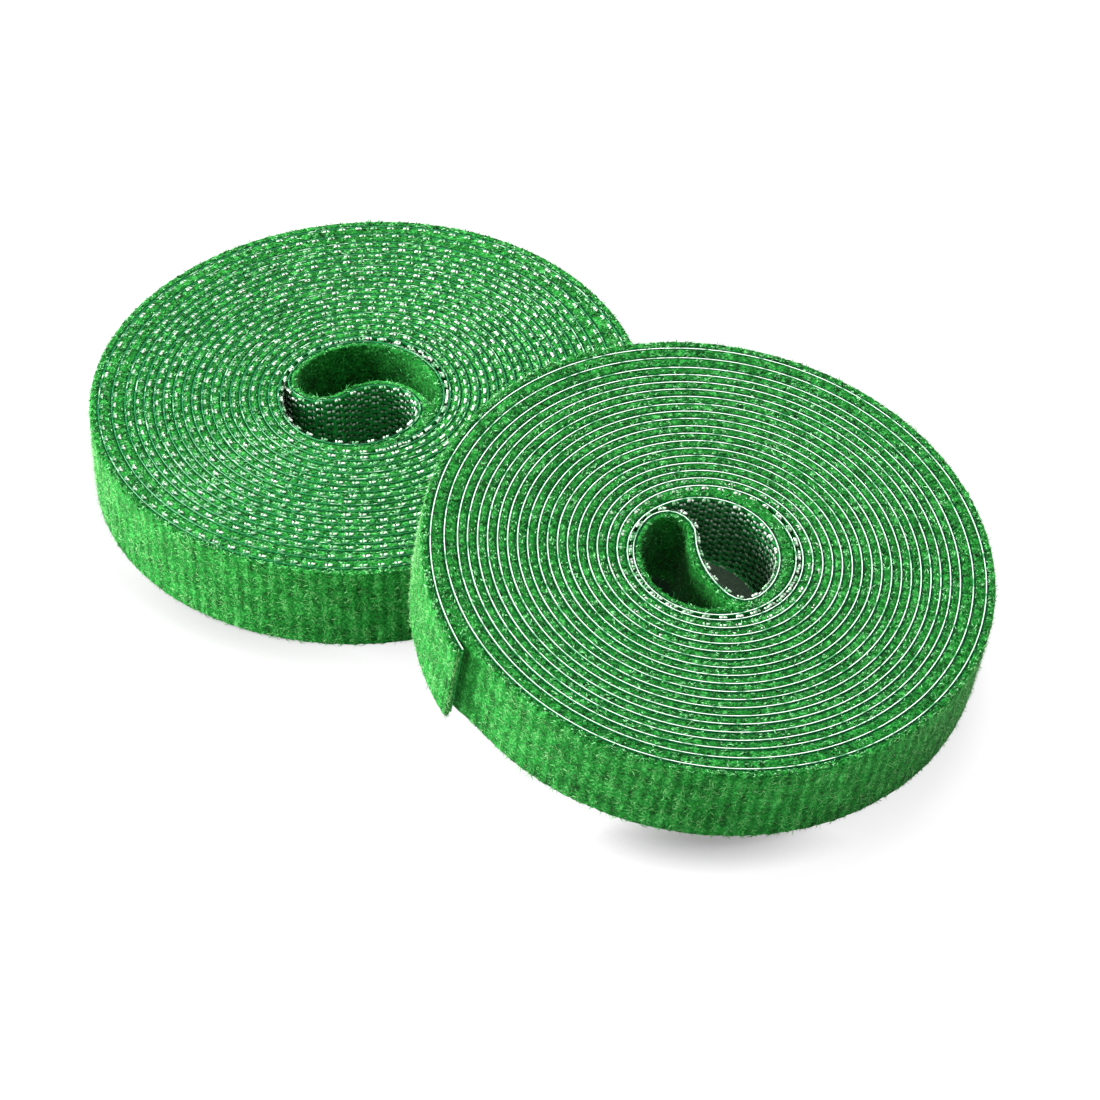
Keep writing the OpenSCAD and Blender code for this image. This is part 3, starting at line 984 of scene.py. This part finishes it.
for index, kind in enumerate(ROLLS):
    make_wound_roll(kind, index)
    make_free_end(kind, index)

# %% [markdown]
# ## Riding on the bodies
# What is wound rides on its roll. The free end's pieces are baked where they lie and ride on no body, and
# the frame's own hook film and loop cloth are hidden, as the layers made here replace them.

# %% Bodies and replaced layers
BEND = 8 * MM

for kind, (roll, edge) in ROLLS.items():
    part, end = kind + "_roll", kind + "_end"
    for obj in made[part]:
        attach(obj, part)
    place, out, ahead = along(roll, [roll["cut"] - BEND / 2, roll["cut"] + BEND / 2])
    for obj in made[end]:
        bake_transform(obj)
    for name in (part, end):
        pieces = {o.name: o for o in made[name]}
        film, cloth = pieces[name + "_film"], pieces[name + "_backing"]
        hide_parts(name + "_hook_film")
        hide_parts(name + "_loop_cloth")
        span = (roll["cut"] - SEAM) if name == part else roll["length"] - roll["cut"] + SEAM
        ["flat_roll_film"] if kind == "leaning" else []
    print(part, "and", end, "carry", len(made[part]) + len(made[end]), "pieces")

# %% [markdown]
# ## The floor
# The floor is plain and pale. To the camera and in reflections it is almost paper white, and it still takes
# the rolls' soft shadow. Ambient occlusion darkens it where it meets the rolls, and most of all down the
# two cores. When the leaning roll is lifted, that shade goes by itself.

# %% The floor
CORE_FLOORS = ((-0.0210, 0.0193, 0), (0.0222, -0.0060, 0))  # the leaning core opens further back
NARROW_WELL = (0.0155, -0.0055, 0)
FLOOR_LEVEL, WHITE_LEVEL, PAPER_SHARE = -0.00005, 1.02, 0.14


def floor_light(p):
    """The light that the floor sends to the camera, and a mask that is 1 outside both cores."""
    near, far = (p.node("ShaderNodeAmbientOcclusion", {"samples": 8}, {"Distance": reach}, "AO")
                 for reach in (0.005, 0.03))
    place = p.node("ShaderNodeTexCoord", output=3)

    def measure(operation, point):
        return p.node("ShaderNodeVectorMath", {"operation": operation}, {0: place, 1: point}, 1)

    # The painted shadow is made stronger towards the front left, the side away from the back-right lamp.
    towards = measure("DOT_PRODUCT", (-0.5, -0.87, 0))
    front = p.node("ShaderNodeMapRange", {}, {0: towards, 1: 0.026, 2: 0.044, 3: 0.15, 4: 2.1})
    outside = 1
    for centre in CORE_FLOORS:
        away = measure("DISTANCE", centre)
        outside = p.node("ShaderNodeMapRange", {}, {0: away, 1: 0.012, 2: 0.020}) * outside
    # the narrower of the leaning roll's two wells gets less light
    away = measure("DISTANCE", NARROW_WELL)
    deeper = p.node("ShaderNodeMapRange", {}, {0: away, 1: 0.0035, 2: 0.007, 3: 0.2, 4: 0.0})
    well = p.ramp(far - deeper, (0.0, (0.002, 0.006, 0.003)), (0.22, (0.030, 0.072, 0.034)),
                  (0.75, (1, 1, 1)))
    shade = p.node("ShaderNodeMath", {"operation": "MULTIPLY", "use_clamp": True},
                   {0: (1 - near) * outside, 1: front})
    return p.mix(shade, p.mix(outside, well, (1, 1, 1, 1)), (0, 0, 0, 1)), outside


def make_floor():
    """A plane just under the rolls."""
    bpy.ops.object.select_all(action="DESELECT")
    bpy.ops.mesh.primitive_plane_add(size=6, location=(0, 0, FLOOR_LEVEL))
    floor = bpy.context.object
    floor.name = "floor"
    bpy.ops.object.transform_apply(location=True, rotation=True, scale=True)
    p = Paint("floor_paper", Base_Color=(0.9, 0.9, 0.9, 1), Roughness=0.9, Specular_IOR_Level=0.1)
    light, outside = floor_light(p)
    white = p.node("ShaderNodeEmission", {}, {"Color": light, "Strength": WHITE_LEVEL})
    rays = ("Camera", "Glossy", "Transmission")
    seen = sum(p.node("ShaderNodeLightPath", output=f"Is {ray} Ray") for ray in rays)
    both = p.node("ShaderNodeMixShader", {}, {0: seen * (1 - outside * PAPER_SHARE),
                                              1: Wire(p, p.shader.outputs[0]), 2: white})
    p.link(both, p.tree.nodes["Material Output"].inputs["Surface"])
    floor.data.materials.append(p.material)
    return floor


floor = make_floor()
print("floor with", len(floor.data.materials[0].node_tree.nodes), "nodes in its material")

# %% [markdown]
# ## Light
# A weak even sky keeps the shadows open, and three soft square lamps give the shape: one from behind on the
# right, a strong low one from the left that brings out the pile, and a faint one in front.

# %% World and lamps
SKY_LEVEL = 0.31
world = bpy.data.worlds.new("studio")
bpy.context.scene.world = world
world.use_nodes = True
world.node_tree.nodes["Background"].inputs["Color"].default_value = (1, 1, 1, 1)
world.node_tree.nodes["Background"].inputs["Strength"].default_value = SKY_LEVEL


def lamp(name, bearing, height, distance, size, power):
    """A soft square lamp aimed at the rolls."""
    obj = bpy.data.objects.new(name, bpy.data.lights.new(name, "AREA"))
    obj.data.size, obj.data.energy = size, power
    bpy.context.scene.collection.objects.link(obj)
    target = Vector((0, 0, 0.01))
    aim(obj, around(target, distance, bearing, height), target)
    print(name, power, "W")


lamp("back_right_lamp", 157, 55, 0.9, 0.35, 9.5)
lamp("left_lamp", -95, 22, 0.8, 0.5, 16.5)
lamp("front_lamp", 20, 50, 1.0, 0.6, 1.6)
bpy.context.scene.view_settings.view_transform = "Standard"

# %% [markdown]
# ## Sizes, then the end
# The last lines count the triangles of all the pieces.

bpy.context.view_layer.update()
total = sum(len(p.vertices) - 2 for part in made.values() for o in part for p in o.data.polygons)
print("triangles", total)
